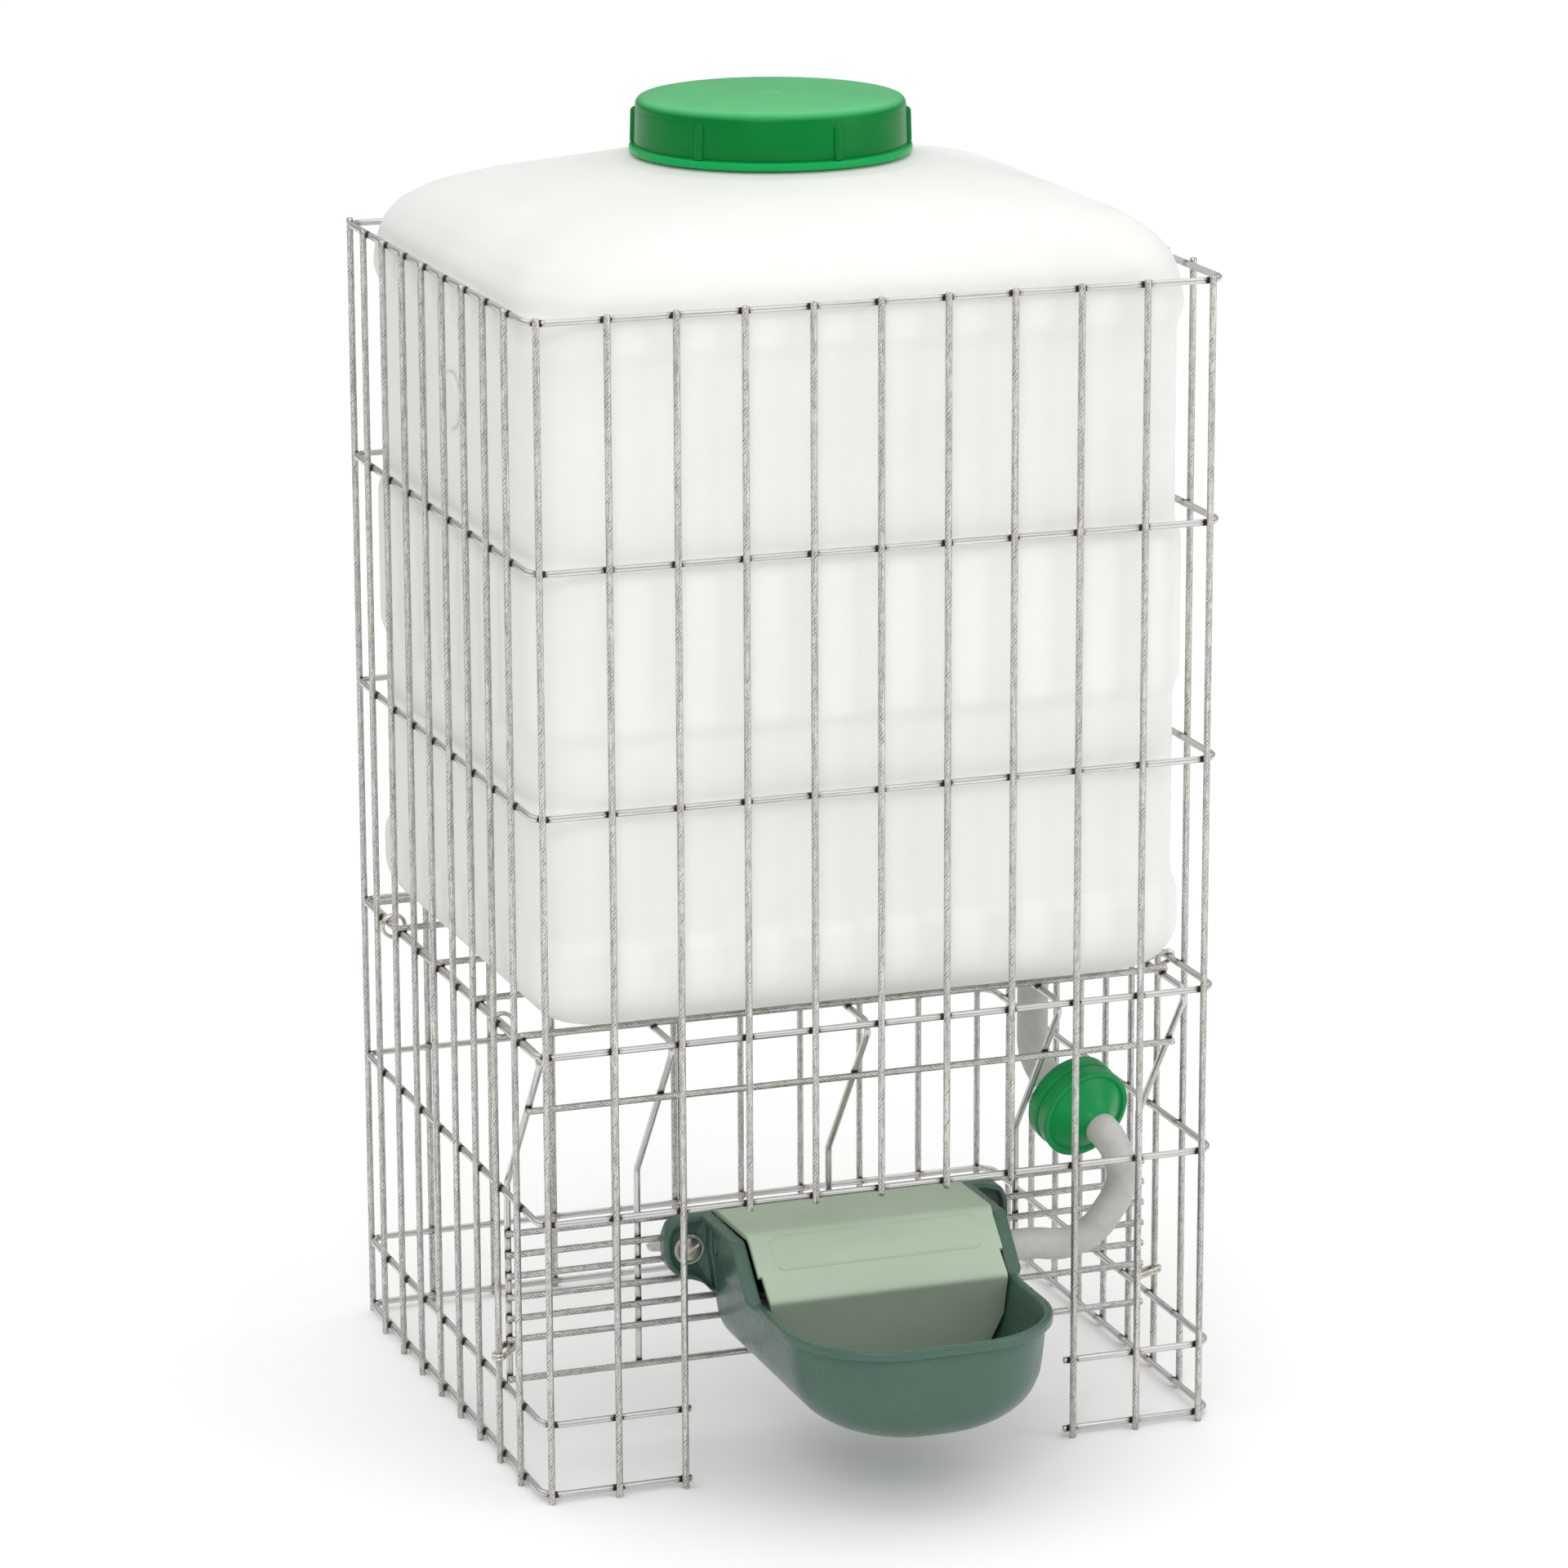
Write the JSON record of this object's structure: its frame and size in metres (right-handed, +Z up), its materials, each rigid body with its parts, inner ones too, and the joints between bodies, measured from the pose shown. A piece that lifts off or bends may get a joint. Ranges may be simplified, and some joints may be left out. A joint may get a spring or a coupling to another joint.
{
  "type": "poultry waterer fount",
  "caption": "Free-standing poultry waterer: a lift-out water tank with screw cap in a welded wire cage, feeding a float bowl through a filter and hoses.",
  "frame": {"origin": "on the floor, in the middle of the outline seen from above", "axes": "+Z up, -Y towards the front of the bowl, +X to the right seen from the front"},
  "size_m": [0.322, 0.3628, 0.5824],
  "materials": {
    "zinc_hoop": "bright zinc-plated round wire, smooth, with dark weld burns",
    "zinc_upright": "dull zinc-plated drawn wire, mottled grey",
    "zinc_clip": "bright zinc-plated clip wire",
    "tank_plastic": "translucent white blow-moulded plastic",
    "outlet_plastic": "black moulded plastic",
    "seal_rubber": "soft black rubber",
    "cap_plastic": "bright green moulded plastic, satin gloss",
    "hose_rubber": "grey rubber hose",
    "filter_plastic": "green moulded plastic",
    "screen_steel": "fine woven wire screen",
    "bowl_plastic": "dark grey-green moulded plastic, fine grained",
    "cover_plastic": "pale sage-green moulded plastic, satin",
    "valve_plastic": "white moulded plastic",
    "float_foam": "closed-cell foam",
    "zinc_fastener": "bright zinc plating"
  },
  "bodies": {
    "base": {"hoop_top": "zinc_hoop", "hoop_upper": "zinc_hoop", "hoop_middle": "zinc_hoop", "hoop_shelf": "zinc_hoop", "hoop_rail": "zinc_hoop", "hoop_lower": "zinc_hoop", "hoop_foot": "zinc_hoop", "uprights_front": "zinc_upright", "uprights_left": "zinc_upright", "uprights_right": "zinc_upright", "uprights_rear": "zinc_upright", "panel_long_wires": "zinc_hoop", "panel_shelf_wires": "zinc_upright", "panel_carrier_wires": "zinc_upright", "clip_rings": "zinc_clip", "hose_upper": "hose_rubber", "filter_body": "filter_plastic", "filter_cover": "filter_plastic", "filter_screen": "screen_steel", "filter_seal": "seal_rubber", "hose_lower": "hose_rubber", "bowl": "bowl_plastic", "bowl_cover": "cover_plastic", "valve_body": "valve_plastic", "valve_nut": "valve_plastic", "pivot_pin": "zinc_fastener", "bolts": "zinc_fastener", "washers_front": "zinc_fastener", "washers_rear": "zinc_fastener"},
    "tank": {"tank_shell": "tank_plastic", "tank_outlet": "outlet_plastic", "tank_outlet_seal": "seal_rubber", "tank_outlet_nut": "outlet_plastic"},
    "cap_carrier": {"cap_gasket": "seal_rubber"},
    "cap": {"cap": "cap_plastic"},
    "float": {"float_arm": "valve_plastic", "float_block": "float_foam"},
    "plunger": {"valve_plunger": "valve_plastic", "valve_seal": "seal_rubber"},
    "wing_left": {"wing_nut_left": "zinc_fastener"},
    "wing_right": {"wing_nut_right": "zinc_fastener"}
  },
  "joints": [
    {"name": "tank_lift", "type": "slide", "parent": "base", "child": "tank", "axis": [0, 0, 1], "range_m": [0, 0.33]},
    {"name": "cap_lift", "type": "slide", "parent": "tank", "child": "cap_carrier", "axis": [0, 0, 1], "range_m": [0, 0.0201]},
    {"name": "cap_turn", "type": "hinge", "parent": "cap_carrier", "child": "cap", "pos_m": [-0.002, 0.0425, 0.557], "axis": [0, 0, 1], "range_deg": [0, 900]},
    {"name": "float_swing", "type": "hinge", "parent": "base", "child": "float", "pos_m": [0.018, -0.0574, 0.07], "axis": [0, 1, 0], "range_deg": [0, 12]},
    {"name": "plunger_slide", "type": "slide", "parent": "base", "child": "plunger", "axis": [1, 0, 0], "range_m": [0, 0.0021]},
    {"name": "wing_left_turn", "type": "hinge", "parent": "base", "child": "wing_left", "pos_m": [-0.07, -0.0274, 0.08745], "axis": [0, 1, 0], "continuous": true},
    {"name": "wing_right_turn", "type": "hinge", "parent": "base", "child": "wing_right", "pos_m": [0.066, -0.0274, 0.08745], "axis": [0, 1, 0], "continuous": true}
  ],
  "couplings": [
    {"joint": "cap_lift", "follows": "cap_turn", "m_per_rad": 0.0012732},
    {"joint": "plunger_slide", "follows": "float_swing", "m_per_rad": 0.0096}
  ]
}
